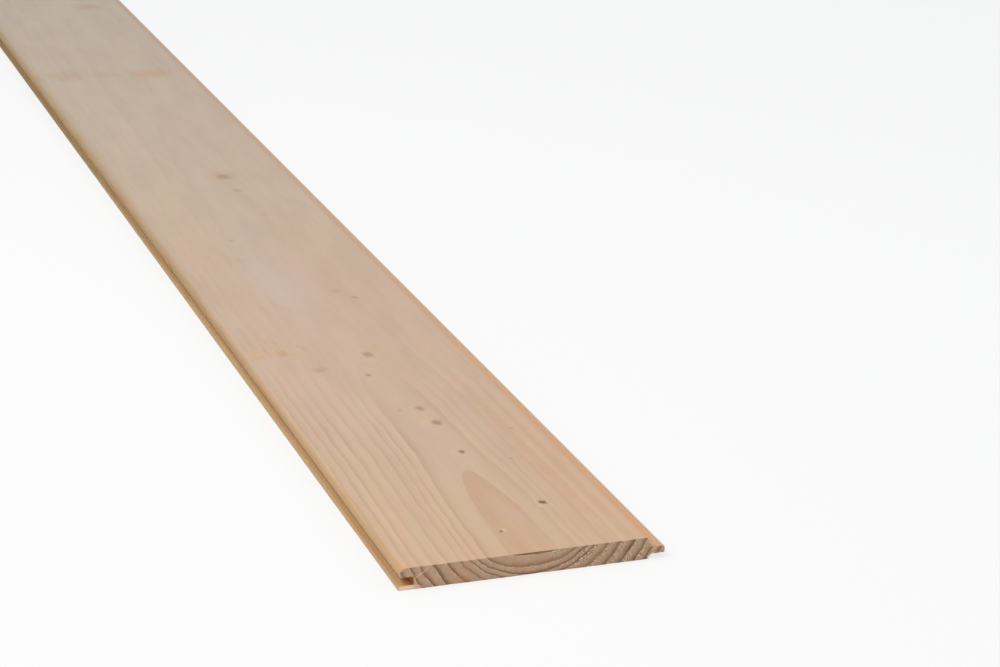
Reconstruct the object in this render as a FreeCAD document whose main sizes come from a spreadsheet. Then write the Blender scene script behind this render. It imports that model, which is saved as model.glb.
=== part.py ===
import FreeCAD, Part
import math
import os
import Sketcher

# A softwood tongue and groove lining board, planed all round, lying face up.
# Frame: X across the board with the tongue at +X, Y along the grain, Z up.
# The origin is the middle of the back face, where the board lies on the floor.
# All lengths are in millimetres.

sizeList = [
    # overall
    ("boardLength", 1800),
    ("coverWidth", 137),
    ("boardThickness", 12),
    # groove edge
    ("lowerLip", 2.4),
    ("grooveHeight", 4.6),
    ("lipSetback", 1.0),
    ("faceRound", 3.5),
    ("lipArris", 0.4),
    ("grooveCorner", 0.3),
    # tongue edge
    ("tongueLength", 8),
    ("tongueTaper", 0.3),
    ("tongueRound", 0.9),
    ("faceShoulder", 1.5),
    ("heelShoulder", 1.5),
    ("edgeArris", 0.25),
    # play between a tongue and the next board's groove
    ("sidePlay", 0.2),
    ("tipPlay", 0.4),
]

document = FreeCAD.newDocument("TongueAndGrooveBoard")
sheet = document.addObject("Spreadsheet::Sheet", "Sizes")
for row, (alias, value) in enumerate(sizeList, start=1):
    sheet.set(f"A{row}", alias)
    sheet.set(f"B{row}", str(value))
    sheet.setAlias(f"B{row}", alias)
document.recompute()
size = {alias: float(sheet.get(alias)) for alias, value in sizeList}


def originPlane(body, role):
    """The body's own origin plane with that role."""
    for feature in body.Origin.OriginFeatures:
        if feature.Role == role:
            return feature
    raise RuntimeError(f"no origin plane {role}")


def sectionCorners():
    """Corners of the moulded section as (x, z), from the lower lip's foot round to its tip."""
    halfWidth = (size["coverWidth"] + size["tongueLength"]) / 2
    coverLine = halfWidth - size["tongueLength"]
    lipLine = -halfWidth
    noseLine = lipLine + size["lipSetback"]
    grooveTop = size["lowerLip"] + size["grooveHeight"]
    wallLine = lipLine + size["tongueLength"] + size["tipPlay"]
    tongueFoot = size["lowerLip"] + size["sidePlay"]
    tongueHead = grooveTop - size["sidePlay"]
    faceLevel = size["boardThickness"]
    return {
        "lipFoot": (lipLine, 0),
        "heel": (coverLine - size["heelShoulder"], 0),
        "rootFoot": (coverLine, tongueFoot),
        "tipFoot": (halfWidth, tongueFoot + size["tongueTaper"]),
        "tipHead": (halfWidth, tongueHead - size["tongueTaper"]),
        "rootHead": (coverLine, tongueHead),
        "faceCorner": (coverLine - size["faceShoulder"], faceLevel),
        "roundStart": (noseLine + size["faceRound"], faceLevel),
        "roundEnd": (noseLine, faceLevel - size["faceRound"]),
        "mouth": (noseLine, grooveTop),
        "wallHead": (wallLine, grooveTop),
        "wallFoot": (wallLine, size["lowerLip"]),
        "lipTip": (lipLine, size["lowerLip"]),
    }


def vector(point):
    return FreeCAD.Vector(point[0], point[1], 0)


def drawSection(sketch, corners):
    """Draw the closed outline and return the index of each line by the corner that it starts at."""
    names = list(corners)
    lineOf = {}
    for name, following in zip(names, names[1:] + names[:1]):
        start, end = vector(corners[name]), vector(corners[following])
        if name == "roundStart":
            centre = FreeCAD.Vector(start.x, end.y, 0)
            circle = Part.Circle(centre, FreeCAD.Vector(0, 0, 1), size["faceRound"])
            quarter = Part.ArcOfCircle(circle, math.pi / 2, math.pi)
            lineOf[name] = sketch.addGeometry(quarter, False)
        else:
            lineOf[name] = sketch.addGeometry(Part.LineSegment(start, end), False)
    return lineOf


def holdSection(sketch, lineOf):
    """Constrain the outline fully, each size bound to the sheet."""
    start, end, onlyPoint, originPoint, axisX = 1, 2, 1, -1, -1
    names = list(lineOf)
    for name, following in zip(names, names[1:] + names[:1]):
        kind = "Tangent" if "roundStart" in (name, following) else "Coincident"
        sketch.addConstraint(Sketcher.Constraint(kind, lineOf[name], end, lineOf[following], start))
    for name in ("lipFoot", "faceCorner", "mouth", "wallFoot"):
        sketch.addConstraint(Sketcher.Constraint("Horizontal", lineOf[name]))
    for name in ("tipFoot", "roundEnd", "wallHead", "lipTip"):
        sketch.addConstraint(Sketcher.Constraint("Vertical", lineOf[name]))
    sketch.addConstraint(Sketcher.Constraint("PointOnObject", lineOf["lipFoot"], start, axisX))
    sketch.addConstraint(Sketcher.Constraint("Vertical", lineOf["rootFoot"], start, lineOf["rootHead"], start))

    def hold(label, direction, first, second, formula):
        value = sketch.evalExpression(formula)
        index = sketch.addConstraint(Sketcher.Constraint(direction, *first, *second, float(value)))
        sketch.renameConstraint(index, label)
        sketch.setExpression(f"Constraints.{label}", formula)

    def at(name):
        return lineOf[name], start

    origin = (originPoint, onlyPoint)
    halfWidth = "(Sizes.coverWidth + Sizes.tongueLength) / 2"
    hold("leftHalf", "DistanceX", at("lipFoot"), origin, halfWidth)
    hold("rightHalf", "DistanceX", origin, at("tipFoot"), halfWidth)
    hold("thickness", "DistanceY", at("lipFoot"), at("faceCorner"), "Sizes.boardThickness")
    hold("lip", "DistanceY", at("lipFoot"), at("lipTip"), "Sizes.lowerLip")
    hold("groove", "DistanceY", at("wallFoot"), at("wallHead"), "Sizes.grooveHeight")
    hold("grooveDepth", "DistanceX", at("lipTip"), at("wallFoot"), "Sizes.tongueLength + Sizes.tipPlay")
    hold("setback", "DistanceX", at("lipFoot"), at("mouth"), "Sizes.lipSetback")
    hold("tongue", "DistanceX", at("rootFoot"), at("tipFoot"), "Sizes.tongueLength")
    hold("underPlay", "DistanceY", at("lipTip"), at("rootFoot"), "Sizes.sidePlay")
    hold("overPlay", "DistanceY", at("rootHead"), at("wallHead"), "Sizes.sidePlay")
    hold("underTaper", "DistanceY", at("rootFoot"), at("tipFoot"), "Sizes.tongueTaper")
    hold("overTaper", "DistanceY", at("tipHead"), at("rootHead"), "Sizes.tongueTaper")
    hold("faceStep", "DistanceX", at("faceCorner"), at("rootHead"), "Sizes.faceShoulder")
    hold("heelStep", "DistanceX", at("heel"), at("rootFoot"), "Sizes.heelShoulder")
    radius = sketch.addConstraint(Sketcher.Constraint("Radius", lineOf["roundStart"], size["faceRound"]))
    sketch.renameConstraint(radius, "nose")
    sketch.setExpression("Constraints.nose", "Sizes.faceRound")


def longEdges(feature, corners, names):
    """Names of the feature's edges that run the whole length at those corners."""
    found = []
    for index, edge in enumerate(feature.Shape.Edges, start=1):
        middle = edge.CenterOfMass
        for name in names:
            place = FreeCAD.Vector(corners[name][0], 0, corners[name][1])
            if middle.distanceToPoint(place) < 0.01 and abs(edge.Length - size["boardLength"]) < 0.01:
                found.append(f"Edge{index}")
    if len(found) != len(names):
        raise RuntimeError(f"edges missing at {names}")
    return found


def roundEdges(body, label, corners, names, alias):
    """Ease the long edges at those corners to the radius that the sheet holds."""
    base = body.Tip
    fillet = body.newObject("PartDesign::Fillet", label)
    fillet.Base = (base, longEdges(base, corners, names))
    fillet.setExpression("Radius", f"Sizes.{alias}")
    document.recompute()


def makeBoard():
    """The board: one moulded section run the whole length, then its worn edges."""
    body = document.addObject("PartDesign::Body", "board")
    body.Label = "board"
    body.Placement = FreeCAD.Placement(FreeCAD.Vector(0, 0, 0), FreeCAD.Rotation())
    corners = sectionCorners()
    sketch = body.newObject("Sketcher::SketchObject", "mouldedSection")
    sketch.AttachmentSupport = [(originPlane(body, "XZ_Plane"), "")]
    sketch.MapMode = "FlatFace"
    lineOf = drawSection(sketch, corners)
    holdSection(sketch, lineOf)
    document.recompute()
    if sketch.solve() != 0 or not sketch.FullyConstrained:
        raise RuntimeError("the section isn't fully constrained")
    run = body.newObject("PartDesign::Pad", "run")
    run.Profile = sketch
    run.SideType = "Symmetric"
    run.setExpression("Length", "Sizes.boardLength")
    document.recompute()
    roundEdges(body, "tongueTip", corners, ["tipFoot", "tipHead"], "tongueRound")
    roundEdges(body, "lipArrises", corners, ["mouth", "lipTip"], "lipArris")
    roundEdges(body, "grooveCorners", corners, ["wallHead", "wallFoot"], "grooveCorner")
    roundEdges(body, "outerArrises", corners, ["faceCorner", "heel", "lipFoot"], "edgeArris")
    return body


pieces = [makeBoard()]
document.recompute()

for thing in document.Objects:
    if "Invalid" in thing.State or "Error" in thing.State:
        raise RuntimeError(f"{thing.Label} failed: {thing.State}")
for piece in pieces:
    if piece.Shape.isNull() or not piece.Shape.isValid():
        raise RuntimeError(f"{piece.Label} has no valid shape")

os.makedirs("parts", exist_ok=True)
for piece in pieces:
    piece.Shape.exportStep(f"parts/{piece.Label}.step")
    box = piece.Shape.BoundBox
    print(piece.Label, "solids", len(piece.Shape.Solids), "volume", round(piece.Shape.Volume, 1))
    print("box", box)
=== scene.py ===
import math
import random

import bmesh
import bpy
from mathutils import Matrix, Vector, geometry, noise


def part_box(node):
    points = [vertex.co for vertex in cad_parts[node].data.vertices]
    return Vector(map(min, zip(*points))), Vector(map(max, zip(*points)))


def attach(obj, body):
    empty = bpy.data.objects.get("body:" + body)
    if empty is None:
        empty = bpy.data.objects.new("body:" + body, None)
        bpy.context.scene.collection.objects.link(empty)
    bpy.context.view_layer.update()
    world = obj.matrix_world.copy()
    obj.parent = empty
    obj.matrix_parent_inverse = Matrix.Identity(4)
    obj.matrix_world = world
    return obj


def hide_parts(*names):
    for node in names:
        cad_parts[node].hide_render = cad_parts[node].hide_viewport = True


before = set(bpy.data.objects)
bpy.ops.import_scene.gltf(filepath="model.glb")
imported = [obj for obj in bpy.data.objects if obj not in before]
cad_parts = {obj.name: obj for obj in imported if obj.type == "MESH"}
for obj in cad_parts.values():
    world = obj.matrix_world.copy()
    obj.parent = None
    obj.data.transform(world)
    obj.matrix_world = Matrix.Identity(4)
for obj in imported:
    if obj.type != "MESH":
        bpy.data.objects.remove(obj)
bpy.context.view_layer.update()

mm = 0.001
boardLow, boardHigh = (Vector(corner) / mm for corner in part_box("board"))
nearEnd, farEnd = boardLow.y, boardHigh.y
boardLength = farEnd - nearEnd


# Shared helpers

def paint(red, green, blue):
    def linear(level):
        share = level / 255
        return share / 12.92 if share <= 0.04045 else ((share + 0.055) / 1.055) ** 2.4
    return (linear(red), linear(green), linear(blue), 1.0)


def addNode(tree, kind, inputs=None, **settings):
    made = tree.nodes.new(kind)
    for name, value in settings.items():
        setattr(made, name, value)
    fill(tree, made.inputs, inputs or {})
    return made


def fill(tree, sockets, values):
    for name, value in values.items():
        if isinstance(value, bpy.types.NodeSocket):
            tree.links.new(value, sockets[name])
        else:
            sockets[name].default_value = value


def maths(tree, operation, *values, clamp=False):
    return addNode(tree, "ShaderNodeMath", dict(enumerate(values)), operation=operation, use_clamp=clamp).outputs[0]


def times(tree, product, *others):
    for other in others:
        product = maths(tree, "MULTIPLY", product, other)
    return product


def vectors(tree, operation, *values):
    made = addNode(tree, "ShaderNodeVectorMath", dict(enumerate(values)), operation=operation)
    return made.outputs["Value" if operation in ("LENGTH", "DOT_PRODUCT") else "Vector"]


def scaledBy(tree, vector, factor):
    return addNode(tree, "ShaderNodeVectorMath", {0: vector, "Scale": factor}, operation="SCALE").outputs["Vector"]


def splitUp(tree, place):
    return addNode(tree, "ShaderNodeSeparateXYZ", {"Vector": place}).outputs


def between(tree, value, low, high, toLow=0.0, toHigh=1.0):
    return addNode(tree, "ShaderNodeMapRange", {
        "Value": value, "From Min": low, "From Max": high, "To Min": toLow, "To Max": toHigh},
        interpolation_type="SMOOTHSTEP").outputs["Result"]


def blend(tree, share, first, second, kind="MIX"):
    # a colour mix node keeps its share in socket 0 and its colours in sockets 6 and 7
    return addNode(tree, "ShaderNodeMix", {0: share, 6: first, 7: second},
                   data_type="RGBA", blend_type=kind, clamp_factor=True).outputs[2]


def tinted(tree, colour, tone):
    return blend(tree, 1.0, colour, tone, "MULTIPLY")


def evenNoise(tree, place, scale, detail=2.0, output="Fac"):
    return addNode(tree, "ShaderNodeTexNoise", {"Vector": place, "Scale": scale, "Detail": detail}).outputs[output]


def grainNoise(tree, place, across, along, detail=2.0, seed=0.0):
    # noise with cells that are long in the direction of the fibres
    stretched = vectors(tree, "DIVIDE", place, (across, along, across))
    return evenNoise(tree, vectors(tree, "ADD", stretched, (seed, seed * 1.7, seed * 0.6)), 1.0, detail)


def newGroup(name, inputs, outputs):
    group = bpy.data.node_groups.new(name, "ShaderNodeTree")
    kinds = {"value": "NodeSocketFloat", "vector": "NodeSocketVector", "colour": "NodeSocketColor"}
    for socketName, kind in inputs:
        group.interface.new_socket(socketName, in_out="INPUT", socket_type=kinds[kind])
    for socketName, kind in outputs:
        group.interface.new_socket(socketName, in_out="OUTPUT", socket_type=kinds[kind])
    return group, addNode(group, "NodeGroupInput").outputs, addNode(group, "NodeGroupOutput").inputs


def useGroup(tree, group, inputs=None):
    return addNode(tree, "ShaderNodeGroup", inputs, node_tree=group).outputs


# The moulded section. Millimetres, as the joint is machined.
section = {
    "cover": 137.0,
    "lowerLip": 2.4,
    "groove": 4.6,
    "lipSetback": 1.0,
    "faceRound": 3.5,
    "lipArris": 0.4,
    "grooveCorner": 0.3,
    "tongueTaper": 0.3,
    "tongueRound": 0.9,
    "shoulderLean": 1.5,
    "edgeArris": 0.25,
    "sidePlay": 0.2,
    "tipPlay": 0.4,
}

# How finely the board is meshed, and how rough its cut faces are. Millimetres.
boardMesh = {
    "facePitch": 2.0,
    "backPitch": 4.0,
    "edgePitch": 1.3,
    "arcPitch": 0.4,
    "lengthPitch": 8.0,
    "endStations": (0.15, 0.4, 0.9, 1.7, 2.8, 4.5),
    "endPitch": 0.7,
    "sharpTurn": math.radians(28),
    "sawRelief": 0.2,
    "endChip": 0.35,
    "chipReach": 2.2,
    "edgeDent": 0.12,
    "patchPitch": 0.62,
    "patchMargin": (2.2, 4.5),
    "looseShake": (0.2, 0.8),
    "looseClearance": 0.45,
    "knotDepth": 0.12,
    "knotStretch": 1.25,
    "seed": 7,
}

# The patch beside a whorl where the planer tore the face: its corners, and its deepest part, as x and distance from
# the near end, and the middle and half size of its marks
tornPatch = {
    "low": (-66.0, 340.0),
    "high": (-28.0, 386.0),
    "deepest": (-50.0, 362.0),
    "reach": 24.0,
    "pitch": 1.0,
    "depth": 0.03,
    "marksMiddle": (-48.0, 364.0),
    "marksHalf": (30.0, 27.0),
    "marksStrength": 0.7,
}

# The log that the board was sawn from. Radii of the yearly rings, and the pith's height over the back face at some
# distances from the near end. Between the two pairs of radii the rings are lopsided, and reach further on the
# groove's side.
log = {
    "ringRadii": (20.0, 34.1, 39.6, 43.0, 46.0, 51.0, 56.8, 63.4, 69.2, 74.4, 79.3, 84.6, 90.2, 94.8, 99.4, 104.6,
                  110.0, 115.8, 121.0, 126.0),
    "pithHeights": ((0.0, 42.9), (40.0, 43.35), (80.0, 44.25), (100.0, 45.05), (126.0, 46.15), (150.0, 47.1),
                    (180.0, 47.5), (240.0, 48.0), (284.0, 49.3), (330.0, 51.5), (420.0, 54.0), (900.0, 62.0),
                    (1800.0, 74.0)),
    "pithX": 1.0,
    "swayX": 1.2,
    "swayLength": 700.0,
    "archHalfWidth": 14.5,
    "archRise": (125.0, 0.0, 0.0, 1.95),
    "lopsidedFrom": (34.5, 39.0, 0.0, 1.3),
    "lopsidedTo": (46.0, 52.0, 0.0, 1.4),
    "wander": 2.6,
    "loosened": (150.0, 600.0, 0.15, 1.0),
    "wobble": 3.0,
    "branchLean": 0.5,
    "branchSwing": 0.3,
    "knotStretch": 1.5,
}

# Knots where they come out on the face: x, distance from the near end, radius, darkness
knots = (
    (27.0, 64.5, 1.7, 0.9),
    (-6.9, 32.0, 0.95, 0.75),
    (8.8, 151.5, 1.7, 0.68),
    (9.4, 202.0, 2.9, 0.5),
    (7.0, 228.5, 2.7, 0.35),
    (-5.1, 229.0, 1.3, 0.2),
    (-5.8, 296.0, 1.8, 0.42),
    (32.1, 133.5, 0.8, 0.3),
    (47.1, 180.0, 1.2, 0.22),
    (4.7, 334.0, 3.45, 0.42),
    (-30.5, 315.0, 3.5, 0.14),
    (28.2, 452.0, 2.1, 0.3),
    (19.8, 469.0, 2.9, 0.12),
    (-19.0, 609.0, 2.0, 0.2),
    (18.8, 670.0, 2.0, 0.2),
    (15.2, 741.0, 3.3, 0.26),
    (14.3, 784.0, 4.6, 0.38),
    (22.0, 1612.0, 2.4, 0.35),
    (-33.0, 1702.0, 1.6, 0.3),
)

# Stains on the face, most of them where a whorl of branches lay just below: x, distance, half width, half length,
# strength, kind
stains = (
    (-63.0, 349.5, 11.0, 6.5, 0.42, "orange"),
    (-62.0, 354.0, 13.0, 9.0, 0.5, "resin"),
    (-50.0, 353.0, 8.0, 6.0, 0.25, "orange"),
    (-45.0, 352.5, 4.6, 7.0, 0.42, "brown"),
    (-55.0, 338.0, 18.0, 10.0, 0.5, "rose"),
    (-31.5, 315.0, 6.5, 6.0, 0.4, "brown"),
    (-31.0, 318.0, 10.0, 9.0, 0.4, "rose"),
    (19.8, 469.0, 5.0, 6.0, 0.2, "brown"),
    (-30.0, 358.0, 2.6, 6.0, 0.22, "brown"),
    (16.0, 338.0, 3.5, 6.0, 0.3, "resin"),
    (-70.6, 6.0, 2.2, 9.0, 0.8, "orange"),
    (-70.8, 36.0, 1.6, 7.0, 0.6, "orange"),
    (41.0, 4.0, 1.3, 10.0, 0.5, "orange"),
    (24.3, 60.5, 1.8, 3.0, 0.35, "pale"),
    (-4.6, 33.5, 1.8, 3.0, 0.4, "pale"),
    (5.0, 152.0, 3.0, 6.0, 0.25, "pale"),
    (2.0, 205.0, 5.0, 7.0, 0.2, "pale"),
    (1.2, 197.0, 4.2, 5.0, 0.6, "rose"),
    (1.2, 196.0, 3.6, 4.0, 0.12, "brown"),
    (33.5, 1156.0, 23.0, 22.0, 0.42, "brown"),
    (33.5, 1150.0, 22.0, 26.0, 0.3, "resin"),
    (-42.0, 1168.0, 26.0, 26.0, 0.24, "brown"),
    (-69.0, 1166.0, 5.0, 22.0, 0.4, "brown"),
    (-8.0, 1165.0, 13.0, 16.0, 0.2, "brown"),
    (30.0, 1470.0, 16.0, 18.0, 0.3, "brown"),
    (13.0, 786.0, 13.0, 18.0, 0.3, "brown"),
    (-42.0, 275.0, 34.0, 80.0, 0.45, "rose"),
    (-30.0, 400.0, 30.0, 70.0, 0.35, "rose"),
    (7.0, 52.0, 6.0, 14.0, 0.25, "rose"),
    (-16.0, 120.0, 6.0, 50.0, 0.25, "rose"),
    (3.0, 500.0, 12.0, 95.0, 0.5, "rose"),
    (52.0, 400.0, 10.0, 90.0, 0.3, "rose"),
    (-17.0, 505.0, 14.0, 100.0, 0.6, "ash"),
    (-2.0, 820.0, 16.0, 120.0, 0.35, "ash"),
    (-10.0, 500.0, 30.0, 300.0, 0.3, "lilac"),
    (8.0, 1350.0, 18.0, 120.0, 0.3, "ash"),
    (31.0, 520.0, 11.0, 40.0, 0.35, "tan"),
    (27.0, 610.0, 8.0, 50.0, 0.25, "tan"),
    (54.0, 130.0, 4.5, 180.0, 0.8, "tan"),
    (44.0, 150.0, 7.0, 220.0, 0.75, "tan"),
)


# Where each part of the surface lies on the unwrapped square: left, foot, right, head in share of the square
backChart, tongueChart, faceChart, grooveChart, nearChart, farChart = range(6)
chartBoxes = {
    faceChart: ((0.004, 0.012, 0.208, 0.9), (0.216, 0.012, 0.420, 0.9), (0.428, 0.012, 0.632, 0.9)),
    grooveChart: ((0.640, 0.012, 0.678, 0.9), (0.684, 0.012, 0.722, 0.9), (0.728, 0.012, 0.766, 0.9)),
    tongueChart: ((0.772, 0.012, 0.808, 0.9), (0.814, 0.012, 0.850, 0.9), (0.856, 0.012, 0.892, 0.9)),
    backChart: ((0.898, 0.012, 0.996, 0.9),),
    nearChart: ((0.004, 0.914, 0.996, 0.952),),
    farChart: ((0.004, 0.958, 0.996, 0.996),),
}
chartOfRun = {"back": backChart, "heel": tongueChart, "tongue": tongueChart, "shoulder": tongueChart,
              "face": faceChart, "nose": grooveChart, "groove": grooveChart, "lip": grooveChart}


def pithAt(distance):
    sway = log["swayX"] * math.sin(distance / log["swayLength"] * math.tau)
    heights = log["pithHeights"]
    for (start, low), (stop, high) in zip(heights, heights[1:]):
        if distance <= stop:
            return log["pithX"] + sway, low + (high - low) * (distance - start) / (stop - start)


def sectionCorners():
    # (x, z, radius, name of the run that starts here), from the foot of the lower lip round to its tip
    left, right, top = boardLow.x, boardHigh.x, boardHigh.z
    coverLine = left + section["cover"]
    noseLine = left + section["lipSetback"]
    grooveTop = section["lowerLip"] + section["groove"]
    wallLine = left + (right - coverLine) + section["tipPlay"]
    tongueFoot = section["lowerLip"] + section["sidePlay"]
    tongueHead = grooveTop - section["sidePlay"]
    taper, lean, arris = section["tongueTaper"], section["shoulderLean"], section["edgeArris"]
    return (
        (left, 0.0, arris, "back"),
        (coverLine - lean, 0.0, arris, "heel"),
        (coverLine, tongueFoot, 0.0, "tongue"),
        (right, tongueFoot + taper, section["tongueRound"], "tongue"),
        (right, tongueHead - taper, section["tongueRound"], "tongue"),
        (coverLine, tongueHead, 0.0, "shoulder"),
        (coverLine - lean, top, arris, "face"),
        (noseLine, top, section["faceRound"], "nose"),
        (noseLine, grooveTop, section["lipArris"], "groove"),
        (wallLine, grooveTop, section["grooveCorner"], "groove"),
        (wallLine, section["lowerLip"], section["grooveCorner"], "groove"),
        (left, section["lowerLip"], section["lipArris"], "lip"),
    )


def sectionOutline():
    # the section as closely spaced points, each with the run that it belongs to and how exposed it is to knocks
    corners = sectionCorners()
    pitches = {"face": boardMesh["facePitch"], "back": boardMesh["backPitch"]}
    outline = []
    for index, (x, z, radius, run) in enumerate(corners):
        here = Vector((x, z))
        before = Vector(corners[index - 1][:2])
        after = Vector(corners[(index + 1) % len(corners)][:2])
        arriving, leaving = (here - before).normalized(), (after - here).normalized()
        turn = arriving.angle_signed(leaving, 0.0)
        reach = radius * math.tan(abs(turn) / 2)
        lastRun = corners[index - 1][3]
        exposed = 1.0 if turn < 0 and 0 < radius < 0.5 else 0.0
        if radius:
            side = math.copysign(1.0, -turn)
            start = here - arriving * reach
            arm = Vector((arriving.y, -arriving.x)) * radius * side
            steps = max(2, round(abs(turn) * radius / boardMesh["arcPitch"]))
            for step in range(steps + 1):
                angle = -turn * step / steps
                turned = Vector((arm.x * math.cos(angle) - arm.y * math.sin(angle),
                                 arm.x * math.sin(angle) + arm.y * math.cos(angle)))
                outline.append((start - arm + turned, run if step * 2 > steps else lastRun, exposed))
        else:
            outline.append((here, run, 0.0))
        nextRadius = corners[(index + 1) % len(corners)][2]
        nextAfter = Vector(corners[(index + 2) % len(corners)][:2])
        nextTurn = abs(leaving.angle_signed((nextAfter - after).normalized(), 0.0))
        begin = here + leaving * reach
        finish = after - leaving * nextRadius * math.tan(nextTurn / 2)
        pieces = max(1, round((finish - begin).length / pitches.get(run, boardMesh["edgePitch"])))
        outline += [(begin.lerp(finish, step / pieces), run, 0.0) for step in range(1, pieces)]
    return outline


def stationPlaces():
    ends = boardMesh["endStations"]
    inner = boardLength - 2 * ends[-1]
    count = round(inner / boardMesh["lengthPitch"])
    middle = [ends[-1] + inner * step / count for step in range(1, count)]
    return [0.0, *ends, *middle, *(boardLength - end for end in reversed(ends)), boardLength]


def insideLoop(point, loop):
    crossed = False
    last = loop[-1]
    for corner in loop:
        if (corner.y > point.y) != (last.y > point.y):
            if point.x < (last.x - corner.x) * (point.y - corner.y) / (last.y - corner.y) + corner.x:
                crossed = not crossed
        last = corner
    return crossed


def scatterInside(loop, pitch, dice):
    # loose points on a shaken grid, clear of the loop that holds them
    shake, clearance = boardMesh["looseShake"], pitch * boardMesh["looseClearance"]
    low = Vector((min(point.x for point in loop), min(point.y for point in loop)))
    high = Vector((max(point.x for point in loop), max(point.y for point in loop)))
    found = []
    for column in range(int((high.x - low.x) / pitch)):
        for row in range(int((high.y - low.y) / pitch)):
            point = low + Vector((column + dice.uniform(*shake), row + dice.uniform(*shake))) * pitch
            if insideLoop(point, loop) and min((point - edge).length for edge in loop) > clearance:
                found.append(point)
    return found


def fillLoop(mesh, rim, loop, loose, lift):
    # triangles between a closed rim of mesh points and loose points, which lift places in space
    count = len(loop)
    links = [(index, (index + 1) % count) for index in range(count)]
    _, _, faces, origins, _, _ = geometry.delaunay_2d_cdt(loop + loose, links, [], 1, 1e-5)
    corners = {}
    for index, origin in enumerate(origins):
        source = origin[0]
        corners[index] = rim[source] if source < count else mesh.verts.new(lift(loose[source - count]))
    return [mesh.faces.new([corners[index] for index in face]) for face in faces]


def closeEnd(mesh, ring, outline, inward, dice):
    # a sawn face, set back a little and unevenly by the saw
    loop = [point for point, _, _ in outline]
    level = nearEnd if inward > 0 else farEnd

    def lift(point):
        rough = noise.fractal(Vector((point.x * 0.9, point.y * 0.45, level)), 0.9, 2.1, 3)
        depth = boardMesh["sawRelief"] * max(0.0, 0.45 + rough)
        return Vector((point.x, level + inward * depth, point.y)) * mm
    return fillLoop(mesh, ring, loop, scatterInside(loop, boardMesh["endPitch"], dice), lift)


def facePatch(mesh, top, low, high, pitch, depthAt, dice):
    # a finer piece of the planed face, from whole cells of the grid, so that small hollows have a shape
    inside = [face for face in top if face.is_valid and low.x < face.calc_center_median().x / mm < high.x
              and low.y < face.calc_center_median().y / mm < high.y]
    edges = [edge for face in inside for edge in face.edges]
    border = [edge for edge in set(edges) if edges.count(edge) == 1]
    rim = [border[0].verts[0], border[0].verts[1]]
    ends = {}
    for edge in border:
        for vert in edge.verts:
            ends.setdefault(vert, []).append(edge)
    edge = border[0]
    while True:
        edge = next(other for other in ends[rim[-1]] if other is not edge)
        following = edge.other_vert(rim[-1])
        if following is rim[0]:
            break
        rim.append(following)
    loop = [Vector((vert.co.x / mm, vert.co.y / mm)) for vert in rim]

    def lift(point):
        return Vector((point.x, point.y, boardHigh.z - depthAt(point))) * mm
    loose = scatterInside(loop, pitch, dice)
    bmesh.ops.delete(mesh, geom=inside, context="FACES")
    made = fillLoop(mesh, rim, loop, loose, lift)
    return [face for face in top if face.is_valid] + made


def knotHollow(x, y, radius, darkness):
    # the shrunk core of a knot lies below the face, with a crack round part of it
    def depthAt(point):
        away = math.hypot(point.x - x, (point.y - y) / boardMesh["knotStretch"]) / radius
        rough = noise.noise(Vector((point.x * 1.3, point.y * 0.9, radius)))
        core = max(0.0, 1 - away) ** 0.5 * 0.5
        crack = max(0.0, 1 - abs(away - 1.0) / 0.35) * max(0.0, 0.4 + rough)
        return boardMesh["knotDepth"] * min(1.0, darkness + 0.2) * max(0.0, core + crack)
    return depthAt


def tornHollow(point):
    # short pits where the planer lifted the fibres beside the whorl
    x, distance = tornPatch["deepest"]
    fade = (max(0.0, 1 - abs(point.y - nearEnd - distance) / tornPatch["reach"])
            * max(0.0, 1 - abs(point.x - x) / tornPatch["reach"]))
    pit = noise.noise(Vector((point.x * 0.5, point.y * 0.1, 4.0)))
    return tornPatch["depth"] * min(1.0, fade * 2.5) * max(0.0, pit - 0.05) * 2.2


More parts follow.
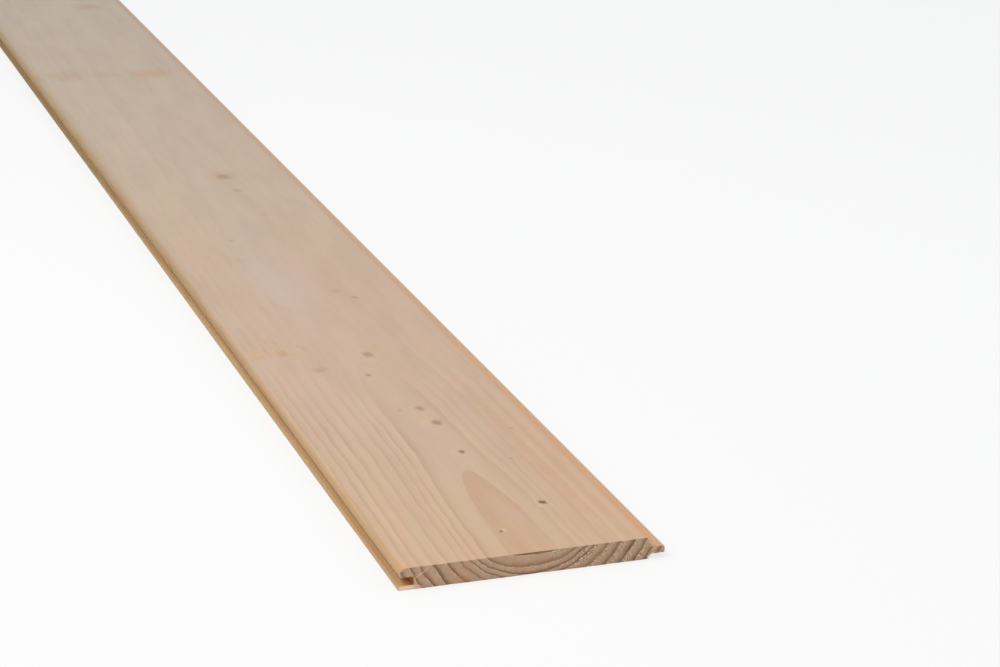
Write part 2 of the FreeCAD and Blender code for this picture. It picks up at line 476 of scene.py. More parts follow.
def buildBoardMesh():
    dice = random.Random(boardMesh["seed"])
    outline = sectionOutline()
    count = len(outline)
    mesh = bmesh.new()
    chart = mesh.faces.layers.int.new("chart")
    around = mesh.verts.layers.float.new("around")
    travelled = [0.0]
    for index in range(count):
        travelled.append(travelled[-1] + (outline[(index + 1) % count][0] - outline[index][0]).length)
    normals = []
    for index, (point, _, _) in enumerate(outline):
        along = (outline[(index + 1) % count][0] - outline[index - 1][0]).normalized()
        normals.append(Vector((-along.y, along.x)))
    rings = []
    for place in stationPlaces():
        ring = []
        chipped = max(0.0, 1 - min(place, boardLength - place) / boardMesh["chipReach"]) ** 2
        for index, (point, _, exposed) in enumerate(outline):
            dent = exposed * boardMesh["edgeDent"] * max(0.0, noise.noise(Vector((place / 17.0, index, 1.7))) + 0.1)
            chip = noise.noise(Vector((point.x / 2.3, point.y / 1.5, 9.0 + place / 900.0)))
            chip = boardMesh["endChip"] * chipped * max(0.0, chip - 0.05)
            moved = point + normals[index] * (dent + chip)
            vert = mesh.verts.new(Vector((moved.x, nearEnd + place, moved.y)) * mm)
            vert[around] = travelled[index]
            ring.append(vert)
        rings.append(ring)
    top = []
    for first, second in zip(rings, rings[1:]):
        for index in range(count):
            following = (index + 1) % count
            face = mesh.faces.new((first[index], second[index], second[following], first[following]))
            face[chart] = chartOfRun[outline[index][1]]
            lowest = min(outline[index][0].y, outline[following][0].y)
            if outline[index][1] == "face" and boardHigh.z - lowest < 0.001:
                top.append(face)
    for x, distance, radius, darkness in knots:
        middle = Vector((x, nearEnd + distance))
        reach = Vector((radius, radius * boardMesh["knotStretch"])) + Vector(boardMesh["patchMargin"])
        top = facePatch(mesh, top, middle - reach, middle + reach, boardMesh["patchPitch"],
                        knotHollow(middle.x, middle.y, radius, darkness), dice)
    low, high = (Vector((x, nearEnd + distance)) for x, distance in (tornPatch["low"], tornPatch["high"]))
    top = facePatch(mesh, top, low, high, tornPatch["pitch"], tornHollow, dice)
    for face in top:
        face[chart] = faceChart
    for end, inward, name in ((rings[0], 1.0, nearChart), (rings[-1], -1.0, farChart)):
        for face in closeEnd(mesh, end, outline, inward, dice):
            face[chart] = name
            face.material_index = 1
    return mesh, travelled[-1]


def unwrap(mesh, perimeter):
    # each part laid flat in its own piece of the square, the long ones cut in three
    chart = mesh.faces.layers.int["chart"]
    around = mesh.verts.layers.float["around"]
    flat = mesh.loops.layers.uv.new("OFBake")

    def roundSection(vert, kind):
        # how far round the section a point lies, where the groove's part runs on past the outline's start
        value = vert[around]
        return value + perimeter if kind == grooveChart and value < perimeter / 2 else value
    limits = {}
    for face in mesh.faces:
        for vert in face.verts:
            reach = limits.setdefault(face[chart], [perimeter * 2, 0.0])
            value = roundSection(vert, face[chart])
            reach[0], reach[1] = min(reach[0], value), max(reach[1], value)
    for face in mesh.faces:
        kind = face[chart]
        boxes = chartBoxes[kind]
        part = int((face.calc_center_median().y / mm - nearEnd) / boardLength * len(boxes))
        part = min(len(boxes) - 1, part)
        left, foot, right, head = boxes[part]
        for loop in face.loops:
            x, y, z = loop.vert.co / mm
            along = (y - nearEnd) / boardLength * len(boxes) - part
            across = (x - boardLow.x) / (boardHigh.x - boardLow.x)
            if kind in (nearChart, farChart):
                along = z / boardHigh.z
            elif kind != faceChart:
                first, last = limits[kind]
                across = (roundSection(loop.vert, kind) - first) / (last - first)
            loop[flat].uv = (left + across * (right - left), foot + along * (head - foot))


mesh, perimeter = buildBoardMesh()
unwrap(mesh, perimeter)
bmesh.ops.recalc_face_normals(mesh, faces=mesh.faces[:])
for edge in mesh.edges:
    edge.smooth = len(edge.link_faces) == 2 and edge.calc_face_angle(0.0) < boardMesh["sharpTurn"]
for face in mesh.faces:
    face.smooth = True
boardData = bpy.data.meshes.new("boardSurface")
mesh.to_mesh(boardData)
mesh.free()
board = bpy.data.objects.new("boardSurface", boardData)
bpy.context.collection.objects.link(board)
print("board meshed,", sum(len(face.vertices) - 2 for face in boardData.polygons), "triangles")


# Growth of the wood, shared by the planed faces and the sawn ends

def pinKnotGroup():
    # one small knot: a branch that runs out from the pith, and the rings that bend round it
    group, given, result = newGroup(
        "pinKnot",
        [("Place", "vector"), ("Root", "vector"), ("Aim", "vector"), ("Radius", "value"), ("Darkness", "value"),
         ("Ragged", "value"), ("Core", "value"), ("Halo", "value"), ("Swing", "value")],
        [("Core", "value"), ("Halo", "value"), ("Swing", "value")])
    arm = vectors(group, "MULTIPLY", vectors(group, "SUBTRACT", given["Place"], given["Root"]),
                  (1.0, 1 / log["knotStretch"], 1.0))
    foot = scaledBy(group, given["Aim"], vectors(group, "DOT_PRODUCT", arm, given["Aim"]))
    away = vectors(group, "LENGTH", vectors(group, "SUBTRACT", arm, foot))
    share = maths(group, "DIVIDE", away, given["Radius"])
    ragged = times(group, share, given["Ragged"])
    core = times(group, between(group, ragged, 1.4, 0.4), given["Darkness"])
    halo = times(group, between(group, share, 2.6, 1.1), given["Darkness"])
    swing = times(group, between(group, share, 4.0, 0.0), given["Radius"])
    fill(group, result, {
        "Core": maths(group, "MAXIMUM", core, given["Core"]), "Halo": maths(group, "MAXIMUM", halo, given["Halo"]),
        "Swing": maths(group, "MULTIPLY_ADD", swing, log["branchSwing"], given["Swing"])})
    return group


def curveThrough(tree, value, places, straight=False):
    # the height of a curve through the places, (across, up) pairs in rising order of across
    lowX, highX = places[0][0], places[-1][0]
    lowY, highY = min(up for _, up in places), max(up for _, up in places)
    share = maths(tree, "DIVIDE", maths(tree, "SUBTRACT", value, lowX), highX - lowX)
    made = addNode(tree, "ShaderNodeFloatCurve", {"Value": share})
    points = made.mapping.curves[0].points
    for across, up in places[1:-1]:
        points.new((across - lowX) / (highX - lowX), (up - lowY) / (highY - lowY))
    if straight:
        for point in points:
            point.handle_type = "VECTOR"
    made.mapping.update()
    return maths(tree, "MULTIPLY_ADD", made.outputs["Value"], highY - lowY, lowY)


def ringGroup(pinKnot):
    # the yearly rings round the pith at any point of the wood, with the knots that cross them
    group, given, result = newGroup(
        "yearlyRings",
        [("Place", "vector")],
        [("Phase", "value"), ("Year", "value"), ("Core", "value"), ("Halo", "value"), ("Distance", "value"),
         ("Radius", "value"), ("Turn", "value")])
    place = given["Place"]
    unevenness = maths(group, "MULTIPLY_ADD", evenNoise(group, place, 0.8), 1.4, 0.3)
    carried = {"Core": 0.0, "Halo": 0.0, "Swing": 0.0}
    for x, distance, radius, darkness in knots:
        pithX, pithZ = pithAt(distance)
        aim = Vector((x - pithX, 0.0, boardHigh.z - pithZ))
        aim.y = -aim.length * log["branchLean"]
        root = Vector((pithX, nearEnd + distance - aim.y, pithZ))
        aim.y /= log["knotStretch"]
        made = useGroup(group, pinKnot, {"Place": place, "Root": root, "Aim": aim.normalized(), "Radius": radius,
                                         "Darkness": darkness, "Ragged": unevenness, **carried})
        carried = {name: made[name] for name in carried}
    placeX, placeY, placeZ = splitUp(group, place)
    distance = maths(group, "SUBTRACT", placeY, nearEnd)
    sway = maths(group, "SINE", times(group, distance, math.tau / log["swayLength"]))
    pithX = maths(group, "MULTIPLY_ADD", sway, log["swayX"], log["pithX"])
    pithZ = curveThrough(group, distance, log["pithHeights"])
    wobble = maths(group, "SUBTRACT", grainNoise(group, place, 8.0, 26.0, 2.0, 3.1), 0.5)
    offX = maths(group, "MULTIPLY_ADD", wobble, log["wobble"], maths(group, "SUBTRACT", placeX, pithX))
    # below the pith the youngest rings are flatter than a circle, near the near end
    flat = maths(group, "DIVIDE", offX, log["archHalfWidth"])
    flat = maths(group, "SUBTRACT", 1.0, times(group, flat, flat), clamp=True)
    flat = times(group, flat, between(group, placeZ, -3.0, 10.5), between(group, distance, *log["archRise"]))
    offZ = maths(group, "SUBTRACT", maths(group, "SUBTRACT", placeZ, pithZ), flat)
    radius = vectors(group, "LENGTH", addNode(group, "ShaderNodeCombineXYZ", {"X": offX, "Y": offZ}).outputs[0])
    lean = maths(group, "SUBTRACT", between(group, radius, *log["lopsidedFrom"]),
                 between(group, radius, *log["lopsidedTo"]))
    radius = maths(group, "MULTIPLY_ADD", maths(group, "DIVIDE", offX, radius), lean, radius)
    # the rings are truest near the near end, and wander more beyond it
    wander = maths(group, "SUBTRACT", grainNoise(group, place, 26.0, 240.0, 1.0), 0.5)
    wander = times(group, wander, log["wander"], between(group, distance, *log["loosened"]))
    radius = maths(group, "ADD", maths(group, "ADD", radius, wander), carried["Swing"])
    count = curveThrough(group, radius, [(ring, index) for index, ring in enumerate(log["ringRadii"])], straight=True)
    year = addNode(group, "ShaderNodeTexWhiteNoise", {"W": maths(group, "FLOOR", count)}, noise_dimensions="1D")
    fill(group, result, {
        "Phase": maths(group, "FRACT", count), "Year": year.outputs["Value"], "Core": carried["Core"],
        "Halo": carried["Halo"], "Distance": distance, "Radius": radius, "Turn": maths(group, "ARCTAN2", offX, offZ)})
    return group


def ramp(tree, value, stops):
    made = addNode(tree, "ShaderNodeValToRGB", {"Fac": value})
    elements = made.color_ramp.elements
    while len(elements) < len(stops):
        elements.new(0.5)
    for element, (at, colour) in zip(elements, stops):
        element.position, element.color = at, colour
    return made.outputs["Color"]


def darkening(tree, phase, stops):
    # how dark the wood is through one year, from the first spring cells to the last of autumn
    return ramp(tree, phase, [(at, (level, level, level, 1.0)) for at, level in stops])


def placeInMillimetres(tree):
    return scaledBy(tree, addNode(tree, "ShaderNodeTexCoord").outputs["Object"], 1 / mm)


def grey(tree, level):
    return addNode(tree, "ShaderNodeCombineXYZ", {"X": level, "Y": level, "Z": level}).outputs[0]


def newMaterial(name):
    material = bpy.data.materials.new(name)
    material.use_nodes = True
    tree = material.node_tree
    return material, tree, tree.nodes["Principled BSDF"]


# The planed wood. Tones with stops drift along the board, each stop a share of its length and a colour: warm at both
# ends and greyer between them, partly the wood's own tone and partly painted light, dimmer and with a grey sheen
# between the ends. The rings fade with distance.
planed = {
    "earlywood": ((0.0, 213, 180, 149), (0.225, 206, 179, 155), (0.81, 196, 180, 161), (1.0, 206, 178, 151)),
    "latewood": ((0.0, 201, 163, 131), (0.225, 192, 162, 137), (0.81, 182, 164, 145), (1.0, 193, 162, 133)),
    # the nose: warmer than the face, and darker further along, partly its own tone and partly painted shade from the
    # groove
    "nose": ((0.0, 190, 152, 104), (0.167, 180, 141, 90), (0.308, 166, 131, 80), (0.81, 160, 131, 84),
             (1.0, 176, 141, 92)),
    # painted shade on the lower front of the nose, beside the groove
    "paintedNoseShade": paint(140, 90, 30),
    # the lower lip's top: warm, and darker from the middle on with painted shade under the nose
    "lowerLip": ((0.0, 197, 157, 109), (0.0375, 196, 155, 107), (0.083, 208, 173, 125), (0.208, 212, 179, 131),
                 (0.333, 196, 161, 115), (0.583, 169, 139, 96), (0.81, 163, 134, 92), (1.0, 186, 152, 106)),
    # the lower lip's outer face: darker from the middle on with painted shade
    "lipFront": ((0.0, 190, 156, 110), (0.208, 188, 157, 112), (0.417, 176, 146, 104), (0.517, 146, 120, 84),
                 (0.81, 122, 100, 70), (1.0, 168, 138, 98)),
    # painted light on the lip's top under the nose, lifting its shade
    "paintedLipLight": paint(218, 185, 136),
    # darker along the groove's side of the face further along, partly painted shade from the groove
    "farEdgeShade": paint(180, 150, 112),
    # the tongue's side: orange with a painted warm glow of a joint between boards, and lighter where the key lamp
    # reaches it less
    "tongueSide": ((0.0, 218, 163, 114), (0.25, 212, 162, 122), (0.5, 202, 166, 136), (0.81, 193, 164, 140),
                   (1.0, 208, 163, 124)),
    "knot": ((0.0, 98, 60, 2), (0.1, 114, 66, 12), (0.208, 128, 78, 20), (1.0, 130, 84, 30)),
    "knotHalo": paint(206, 176, 142),
    "haloStrength": 0.25,
    "tick": paint(186, 146, 108),
    # painted shade inside the groove, in a dark warm brown
    "paintedGrooveShade": paint(188, 112, 32),
    "year": ((0.0, 1.0), (0.006, 0.5), (0.018, 0.06), (0.15, 0.0), (0.45, 0.12), (0.68, 0.45), (0.8, 0.85),
             (0.93, 1.0)),
    "yearTone": (0.985, 1.015),
    "ringFade": (190.0, 360.0, 1.0, 0.18),
    "levelRings": (43.0, 41.0),
    "levelFade": (225.0, 290.0, 0.0, 0.85),
    "quietSide": (13.0, 25.0, 1.0, 0.5),
    "ringMean": 0.36,
    "mottle": ((1.0, 0.975, 0.988, 1.0), (0.98, 1.0, 0.975, 1.0)),
    "roughness": 0.55,
    "specular": 0.35,
    "relief": {"rings": 0.02, "fibres": 0.03, "knots": -0.1, "strength": 0.6},
}

# Uneven tones that run with the fibres: the noise's cells across and along, detail and seed, the part of its range
# that is used, and the tones that this gives
grains = {
    "rings": (12.0, 90.0, 2.0, 6.1, 0.3, 0.7, 0.5, 1.05),
    "fibre": (0.45, 20.0, 3.0, 1.3, 0.25, 0.75, 0.984, 1.013),
    "streak": (1.6, 55.0, 2.0, 2.2, 0.3, 0.7, 0.985, 1.015),
    "cloud": (16.0, 80.0, 2.0, 5.7, 0.3, 0.7, 0.965, 1.03),
    "mottle": (7.0, 34.0, 2.0, 9.3, 0.35, 0.65, 0.0, 1.0),
    "edge": (3.0, 45.0, 2.0, 7.4, 0.3, 0.7, 0.7, 1.0),
    "tongueSide": (3.0, 45.0, 2.0, 7.4, 0.3, 0.7, 0.5, 0.9),
}

# Where the tints and the painted light and shade of the machined edges begin and are full: from the groove's side,
# over the back, from the near end
edges = {
    "fromGroove": {"faceEdge": (12.0, 3.0), "lipRoot": (8.0, 6.0), "paintedLipLight": (1.2, 3.4), "lipFront": (0.5, 0.1),
                   "grooveWall": (9.4, 8.8)},
    "overBack": {"paintedNoseShade": (10.6, 9.2), "lipTop": (5.0, 4.0), "lipFoot": (0.05, 0.2), "shoulder": (5.0, 6.0),
                 "grooveFloor": (2.2, 2.6), "grooveRoof": (7.2, 6.8)},
    "fromNearEnd": {"faceEdge": (300.0, 850.0, 0.0, 0.55), "nose": (250.0, 500.0, 4.2, 5.5),
                    "paintedNoseShade": (150.0, 320.0, 0.06, 0.24), "grooveMouth": (2.0, 12.0)},
    "noseFull": 1.0,
    "tongueSide": (12.5, 9.4),
    "grooveMouth": ((1.2, 3.6), (4.0, 6.0)),
    "grooveShadeStrength": 0.9,
}

stainColours = {
    "brown": paint(176, 128, 88),
    "resin": paint(208, 176, 132),
    "orange": paint(216, 160, 112),
    "pale": paint(224, 198, 168),
    "rose": paint(207, 174, 159),
    "ash": paint(200, 184, 168),
    "lilac": paint(205, 182, 170),
    "tan": paint(201, 161, 129),
}


def stainGroup():
    # one soft oval stain with a ragged edge, at its full strength out to its heart
    group, given, result = newGroup(
        "softStain",
        [("Place", "vector"), ("Middle", "vector"), ("Half Size", "vector"), ("Strength", "value"),
         ("Heart", "value"), ("Ragged", "value"), ("Before", "value")],
        [("Cover", "value")])
    offset = vectors(group, "DIVIDE", vectors(group, "SUBTRACT", given["Place"], given["Middle"]), given["Half Size"])
    away = maths(group, "ADD", vectors(group, "LENGTH", offset), given["Ragged"])
    cover = maths(group, "MULTIPLY", between(group, away, 1.15, given["Heart"]), given["Strength"])
    fill(group, result, {"Cover": maths(group, "MAXIMUM", cover, given["Before"])})
    return group


def stainCover(tree, softStain, place, middle, half, strength, heart, ragged=0.0, before=0.0):
    x, distance, z = middle
    return useGroup(tree, softStain, {
        "Place": place, "Middle": (x, nearEnd + distance, z), "Half Size": half, "Strength": strength,
        "Heart": heart, "Ragged": ragged, "Before": before})["Cover"]


def stained(tree, place, softStain, colour):
    ragged = maths(tree, "MULTIPLY_ADD", grainNoise(tree, place, 7.0, 16.0, 3.0, 12.3), 1.3, -0.65)
    for kind, tint in stainColours.items():
        cover = 0.0
        for x, distance, halfWidth, halfLength, strength, name in stains:
            if name == kind:
                cover = stainCover(tree, softStain, place, (x, distance, boardHigh.z), (halfWidth, halfLength, 3.0),
                                   strength, 0.2 if halfLength < 30 else -0.2, ragged, cover)
        colour = blend(tree, cover, colour, tint)
    return colour


def drifting(tree, drift, name):
    return ramp(tree, drift, [(at, paint(*levels)) for at, *levels in planed[name]])


def grainTone(tree, place, name):
    across, along, detail, seed, *tones = grains[name]
    return between(tree, grainNoise(tree, place, across, along, detail, seed), *tones)


def tintAndShadeEdges(tree, place, distance, drift, colour):
    # the machined edges are warmer, in part their own tone; the rest is painted light and shade: shade in and beside
    # the groove and further along, light on the lip's top under the nose, and a joint's warm glow on the tongue's
    # side
    x, _, z = splitUp(tree, place)

    def side(name):
        return between(tree, x, *(boardLow.x + reach for reach in edges["fromGroove"][name]))

    def height(name):
        return between(tree, z, *edges["overBack"][name])

    def farness(name):
        return between(tree, distance, *edges["fromNearEnd"][name])
    # darker along the groove's side of the face further along, partly painted shade from the groove
    colour = blend(tree, times(tree, side("faceEdge"), farness("faceEdge")), colour, planed["farEdgeShade"])
    patchyEdge = grainTone(tree, place, "edge")
    # the nose: warmer than the face, and darker further along, partly its own tone and partly painted shade from the
    # groove
    onNose = between(tree, x, maths(tree, "ADD", boardLow.x, farness("nose")), boardLow.x + edges["noseFull"])
    colour = blend(tree, times(tree, onNose, patchyEdge), colour, drifting(tree, drift, "nose"))
    # painted shade on the lower front of the nose, growing further along the board
    noseShadeCover = times(tree, onNose, height("paintedNoseShade"), farness("paintedNoseShade"))
    colour = blend(tree, noseShadeCover, colour, planed["paintedNoseShade"])
    # the lower lip: painted lighter on its top under the nose, and darker further along with painted shade
    lipTint = blend(tree, side("paintedLipLight"), drifting(tree, drift, "lowerLip"), planed["paintedLipLight"])
    lipTint = blend(tree, side("lipFront"), lipTint, drifting(tree, drift, "lipFront"))
    onLowerLip = times(tree, height("lipTop"), height("lipFoot"), side("lipRoot"), patchyEdge)
    colour = blend(tree, onLowerLip, colour, lipTint)
    # the tongue's side: painted with a joint's warm glow, and lighter where the key lamp reaches it less
    onTongueSide = times(tree, between(tree, x, *(boardHigh.x - reach for reach in edges["tongueSide"])),
                         height("shoulder"), grainTone(tree, place, "tongueSide"))
    colour = blend(tree, onTongueSide, colour, drifting(tree, drift, "tongueSide"))
    # painted shade inside the groove, in a dark warm brown; past the first millimetres from the near end it begins
    # further in
    mouth = [maths(tree, "MULTIPLY_ADD", farness("grooveMouth"), beyond - near, boardLow.x + near)
             for near, beyond in edges["grooveMouth"]]
    grooveShadeCover = times(tree, between(tree, x, *mouth), side("grooveWall"), height("grooveFloor"),
                     height("grooveRoof"), edges["grooveShadeStrength"])
    return blend(tree, grooveShadeCover, colour, planed["paintedGrooveShade"])


def tornMarks(tree, place, softStain, colour):
    # ticks and resin where the planer tore the face
    torn = stainCover(tree, softStain, place, (*tornPatch["marksMiddle"], boardHigh.z),
                      (*tornPatch["marksHalf"], 3.0), tornPatch["marksStrength"], 0.2)
    ticks = grainNoise(tree, place, 2.2, 12.0, 1.0, 4.4)
    colour = blend(tree, times(tree, torn, between(tree, ticks, 0.5, 0.85)), colour, planed["tick"])
    return blend(tree, times(tree, torn, between(tree, ticks, 0.48, 0.25)), colour, stainColours["resin"])


def planedWood(yearlyRings, softStain):
    material, tree, shader = newMaterial("planedSoftwood")
    place = placeInMillimetres(tree)
    grown = useGroup(tree, yearlyRings, {"Place": place})
    distance = grown["Distance"]
    x, _, _ = splitUp(tree, place)
    # past the first arch the rings next to the pith run almost level with the face, and blur
    level = times(tree, between(tree, grown["Radius"], *planed["levelRings"]),
                  between(tree, distance, *planed["levelFade"]))
    fade = times(tree, between(tree, distance, *planed["ringFade"]), grainTone(tree, place, "rings"),
                 maths(tree, "SUBTRACT", 1.0, level), between(tree, x, *planed["quietSide"]))
    autumn = maths(tree, "SUBTRACT", darkening(tree, grown["Phase"], planed["year"]), planed["ringMean"])
    shown = maths(tree, "MULTIPLY_ADD", autumn, fade, planed["ringMean"])
    # the share of the length that moves the tones, which carry painted light: dimmer with a grey sheen between the
    # ends
    drift = maths(tree, "DIVIDE", distance, boardLength, clamp=True)
    colour = blend(tree, shown, drifting(tree, drift, "earlywood"), drifting(tree, drift, "latewood"))
    fibre = grainTone(tree, place, "fibre")
    tone = times(tree, between(tree, grown["Year"], 0.0, 1.0, *planed["yearTone"]), fibre,
                 grainTone(tree, place, "streak"), grainTone(tree, place, "cloud"))
    colour = tinted(tree, colour, grey(tree, tone))
    colour = tinted(tree, colour, blend(tree, grainTone(tree, place, "mottle"), *planed["mottle"]))
    colour = stained(tree, place, softStain, colour)
    colour = tornMarks(tree, place, softStain, colour)
    colour = blend(tree, times(tree, grown["Halo"], planed["haloStrength"]), colour, planed["knotHalo"])
    colour = blend(tree, grown["Core"], colour, drifting(tree, drift, "knot"))
    colour = tintAndShadeEdges(tree, place, distance, drift, colour)
    # the brighter fibres are the smoother ones
    rough = maths(tree, "MULTIPLY_ADD", fibre, -0.5, planed["roughness"] + 0.5)
    relief = planed["relief"]
    height = times(tree, grainNoise(tree, place, 0.35, 9.0, 3.0, 8.8), relief["fibres"])
    height = maths(tree, "MULTIPLY_ADD", shown, relief["rings"], height)
    height = maths(tree, "MULTIPLY_ADD", grown["Core"], relief["knots"], height)
    bump = addNode(tree, "ShaderNodeBump", {"Height": height, "Strength": relief["strength"], "Distance": mm})
    fill(tree, shader.inputs, {"Base Color": colour, "Roughness": rough, "Specular IOR Level": planed["specular"],
                               "Normal": bump.outputs["Normal"]})
    return material


# The sawn ends. The rings end in a thin dark line on the groove's side, and in a broad band on the tongue's. The saw
# tore the soft first cells of each year, more so towards the tongue. The scratches run from one place to another, and
# the marks lie round one. Places are x from the groove's side and height over the back.
sawn = {
    "earlywood": paint(203, 167, 137),
    "latewood": paint(130, 91, 62),
    "torn": paint(246, 222, 196),
    "pit": paint(98, 64, 42),
    "knot": paint(80, 55, 42),
    "thinRings": ((0.0, 0.9), (0.03, 0.5), (0.1, 0.06), (0.5, 0.08), (0.72, 0.3), (0.86, 0.8), (0.95, 1.0)),
    "wideRings": ((0.0, 0.9), (0.02, 0.4), (0.05, 0.0), (0.4, 0.05), (0.62, 0.35), (0.8, 0.8), (0.92, 1.0)),
    "wideSide": (-25.0, 25.0),
    "tornYear": ((0.0, 0.3), (0.04, 1.0), (0.36, 0.9), (0.5, 0.3), (0.7, 0.1)),
    "tornSide": (-8.0, 26.0, 0.12, 1.0),
    "tornCell": 0.9,
    "tornTurns": 56.0,
    "tornStrength": 0.62,
    "pitStrength": 0.55,
    "liftedYear": ((0.0, 0.0), (0.02, 0.2), (0.06, 1.0), (0.13, 0.0)),
    "liftedStrength": 0.6,
    "scratches": (((8.3, 5.6), (13.4, 8.4), 0.45), ((13.0, 8.2), (16.2, 11.0), 0.4), ((9.0, 7.6), (13.0, 8.3), 0.3)),
    "marks": (((3.5, 1.2), (9.0, 2.2), 1.0, 0.5, paint(252, 216, 180)),
              ((34.0, 2.4), (4.0, 2.6), 0.4, 0.2, paint(206, 134, 76))),
    "kerfTurn": math.radians(62),
    "kerfCell": (9.0, 9.0, 0.45),
    "mottle": ((1.0, 0.95, 0.96, 1.0), (0.96, 1.0, 0.97, 1.0)),
    "roughness": 0.8,
    "specular": 0.2,
    "relief": {"flecks": 0.6, "kerf": 0.4, "strength": 0.6, "depth": 0.4},
}


def scratched(tree, place, y, colour):
    onNearEnd = between(tree, y, nearEnd + 3.0, nearEnd + 2.0)
    for (fromX, fromZ), (toX, toZ), strength in sawn["scratches"]:
        start, stroke = Vector((boardLow.x + fromX, 0.0, fromZ)), Vector((toX - fromX, 0.0, toZ - fromZ))
        arm = vectors(tree, "SUBTRACT", place, start)
        along = vectors(tree, "DOT_PRODUCT", arm, stroke / stroke.length_squared)
        aside = vectors(tree, "DOT_PRODUCT", arm, Vector((-stroke.z, 0.0, stroke.x)).normalized())
        line = times(tree, between(tree, maths(tree, "ABSOLUTE", aside), 0.4, 0.12),
                     between(tree, maths(tree, "ABSOLUTE", maths(tree, "SUBTRACT", along, 0.5)), 0.55, 0.4),
                     onNearEnd, strength)
        colour = blend(tree, line, colour, sawn["torn"])
    return colour


def sawnEndWood(yearlyRings, softStain):
    material, tree, shader = newMaterial("sawnEndGrain")
    place = placeInMillimetres(tree)
    x, y, _ = splitUp(tree, place)
    speck, broad = evenNoise(tree, place, 1.7), evenNoise(tree, place, 0.16)
    coarse = vectors(tree, "SUBTRACT", evenNoise(tree, place, 0.4, 1.0, "Color"), (0.5, 0.5, 0.5))
    shaken = vectors(tree, "ADD", place, vectors(tree, "MULTIPLY", coarse, (1.0, 0.0, 1.0)))
    grown = useGroup(tree, yearlyRings, {"Place": shaken})
    autumn = blend(tree, between(tree, x, *sawn["wideSide"]), darkening(tree, grown["Phase"], sawn["thinRings"]),
                   darkening(tree, grown["Phase"], sawn["wideRings"]))
    weight = times(tree, autumn, between(tree, grown["Year"], 0.0, 1.0, 0.7, 1.0),
                   between(tree, broad, 0.35, 0.65, 0.8, 1.0))
    colour = blend(tree, weight, sawn["earlywood"], sawn["latewood"])
    turned = addNode(tree, "ShaderNodeVectorRotate", {"Vector": place, "Angle": sawn["kerfTurn"]},
                     rotation_type="Y_AXIS").outputs["Vector"]
    kerf = evenNoise(tree, vectors(tree, "DIVIDE", turned, sawn["kerfCell"]), 1.0)
    curled = addNode(tree, "ShaderNodeCombineXYZ", {
        "X": maths(tree, "DIVIDE", grown["Radius"], sawn["tornCell"]),
        "Y": times(tree, grown["Turn"], sawn["tornTurns"])}).outputs[0]
    tear = evenNoise(tree, curled, 1.0, 0.0)
    tornOut = times(tree, darkening(tree, grown["Phase"], sawn["tornYear"]),
                    between(tree, broad, 0.4, 0.58, 0.25, 1.0), between(tree, x, *sawn["tornSide"]))
    bright = times(tree, between(tree, tear, 0.54, 0.62), tornOut)
    pits = times(tree, between(tree, tear, 0.46, 0.38), tornOut)
    # a thin line of lifted fibres beside some of the rings
    lifted = times(tree, darkening(tree, grown["Phase"], sawn["liftedYear"]),
                   between(tree, broad, 0.46, 0.54, 0.0, sawn["liftedStrength"]))
    tone = times(tree, between(tree, kerf, 0.3, 0.7, 0.95, 1.05), between(tree, broad, 0.3, 0.7, 0.95, 1.05),
                 between(tree, speck, 0.3, 0.7, 0.93, 1.07))
    colour = tinted(tree, colour, grey(tree, tone))
    paler = maths(tree, "MAXIMUM", times(tree, bright, sawn["tornStrength"]), lifted)
    colour = blend(tree, paler, colour, sawn["torn"])
    colour = blend(tree, times(tree, pits, sawn["pitStrength"]), colour, sawn["pit"])
    colour = scratched(tree, place, y, colour)
    hue = between(tree, evenNoise(tree, place, 0.22, 1.0), 0.4, 0.6)
    colour = tinted(tree, colour, blend(tree, hue, *sawn["mottle"]))
    ragged = maths(tree, "MULTIPLY_ADD", broad, 1.2, -0.6)
    for (fromSide, z), (halfWidth, halfHeight), strength, heart, tint in sawn["marks"]:
        cover = stainCover(tree, softStain, place, (boardLow.x + fromSide, 0.0, z), (halfWidth, 4.0, halfHeight),
                           strength, heart, ragged)
        colour = blend(tree, cover, colour, tint)
    colour = blend(tree, grown["Core"], colour, sawn["knot"])
    flecks = maths(tree, "ADD", maths(tree, "SUBTRACT", bright, pits), maths(tree, "SUBTRACT", speck, 0.5))
    relief = sawn["relief"]
    height = maths(tree, "MULTIPLY_ADD", flecks, relief["flecks"], times(tree, kerf, relief["kerf"]))
    bump = addNode(tree, "ShaderNodeBump", {"Height": height, "Strength": relief["strength"],
                                            "Distance": mm * relief["depth"]})
    fill(tree, shader.inputs, {"Base Color": colour, "Roughness": sawn["roughness"],
                               "Specular IOR Level": sawn["specular"], "Normal": bump.outputs["Normal"]})
    return material


yearlyRings, softStain = ringGroup(pinKnotGroup()), stainGroup()
boardData.materials.append(planedWood(yearlyRings, softStain))
boardData.materials.append(sawnEndWood(yearlyRings, softStain))
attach(board, "root")
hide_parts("board")
print("wood dressed")


# Floor, light and camera

studio = {
    "floorSize": 60.0,
    "floorColour": (0.92, 0.92, 0.92, 1.0),
    "floorRoughness": 0.9,
    "floorGlow": 0.72,
    "skyStrength": 0.56,
    "skyColour": (0.955, 0.995, 1.045, 1.0),
    "white": (1.0, 1.0, 1.0, 1.0),
}

camera = {
    "place": (-425.8, nearEnd - 1245.5, 561.3),
    "pitch": math.radians(18.134),
    "yaw": math.radians(18.127),
    "lens": 99.61,
    "sensor": 36.0,
    "reach": 50.0,
}

lamps = {
    "key": {"place": (-1.3, -0.8, 2.0), "aim": (0.0, -0.5, 0.0), "size": 1.5, "power": 30.2,
            "colour": (1.0, 0.955, 0.895)},
    "fill": {"place": (1.8, -2.4, 1.6), "aim": (0.0, -0.7, 0.0), "size": 1.8, "power": 4.0,
             "colour": (1.0, 1.0, 1.0)},
}


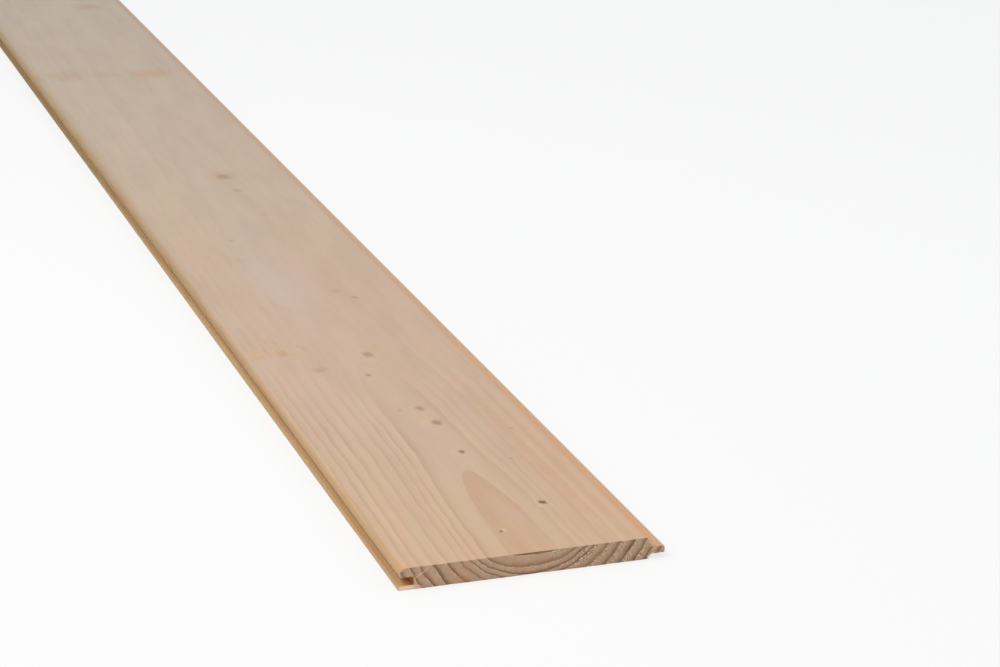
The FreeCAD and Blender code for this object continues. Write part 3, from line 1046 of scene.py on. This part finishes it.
def buildFloor():
    half = studio["floorSize"] / 2
    data = bpy.data.meshes.new("paleFloor")
    data.from_pydata([(-half, -half, 0), (half, -half, 0), (half, half, 0), (-half, half, 0)], [], [(0, 1, 2, 3)])
    floor = bpy.data.objects.new("paleFloor", data)
    bpy.context.collection.objects.link(floor)
    material, tree, shader = newMaterial("paleFloor")
    fill(tree, shader.inputs, {"Base Color": studio["floorColour"], "Roughness": studio["floorRoughness"]})
    glow = addNode(tree, "ShaderNodeEmission", {"Color": studio["white"], "Strength": 1.0})
    rays = addNode(tree, "ShaderNodeLightPath")
    seen = times(tree, rays.outputs["Is Camera Ray"], studio["floorGlow"])
    mixed = addNode(tree, "ShaderNodeMixShader", {0: seen, 1: shader.outputs[0], 2: glow.outputs[0]})
    fill(tree, tree.nodes["Material Output"].inputs, {"Surface": mixed.outputs[0]})
    data.materials.append(material)


def buildSky():
    world = bpy.data.worlds.new("studio")
    bpy.context.scene.world = world
    world.use_nodes = True
    tree = world.node_tree
    back = tree.nodes["Background"]
    rays = addNode(tree, "ShaderNodeLightPath")
    seen = maths(tree, "MAXIMUM", rays.outputs["Is Camera Ray"],
                 maths(tree, "MAXIMUM", rays.outputs["Is Glossy Ray"], rays.outputs["Is Transmission Ray"]))
    strength = maths(tree, "MULTIPLY_ADD", seen, 1.0 - studio["skyStrength"], studio["skyStrength"])
    fill(tree, back.inputs, {"Color": blend(tree, seen, studio["skyColour"], studio["white"]),
                             "Strength": strength})


def buildLamps():
    for name, lamp in lamps.items():
        data = bpy.data.lights.new(name, "AREA")
        data.size = lamp["size"]
        data.energy = lamp["power"]
        data.color = lamp["colour"]
        light = bpy.data.objects.new(name, data)
        light.location = lamp["place"]
        light.rotation_euler = (Vector(lamp["aim"]) - Vector(lamp["place"])).to_track_quat("-Z", "Y").to_euler()
        bpy.context.collection.objects.link(light)


def buildCamera():
    data = bpy.data.cameras.new("camera")
    data.sensor_fit = "HORIZONTAL"
    data.sensor_width = camera["sensor"]
    data.lens = camera["lens"]
    data.clip_end = camera["reach"]
    eye = bpy.data.objects.new("camera", data)
    eye.location = Vector(camera["place"]) * mm
    eye.rotation_euler = (math.pi / 2 - camera["pitch"], 0.0, -camera["yaw"])
    bpy.context.collection.objects.link(eye)
    bpy.context.scene.camera = eye


buildFloor()
buildSky()
buildLamps()
buildCamera()
bpy.context.scene.view_settings.view_transform = "Standard"
print("studio ready")
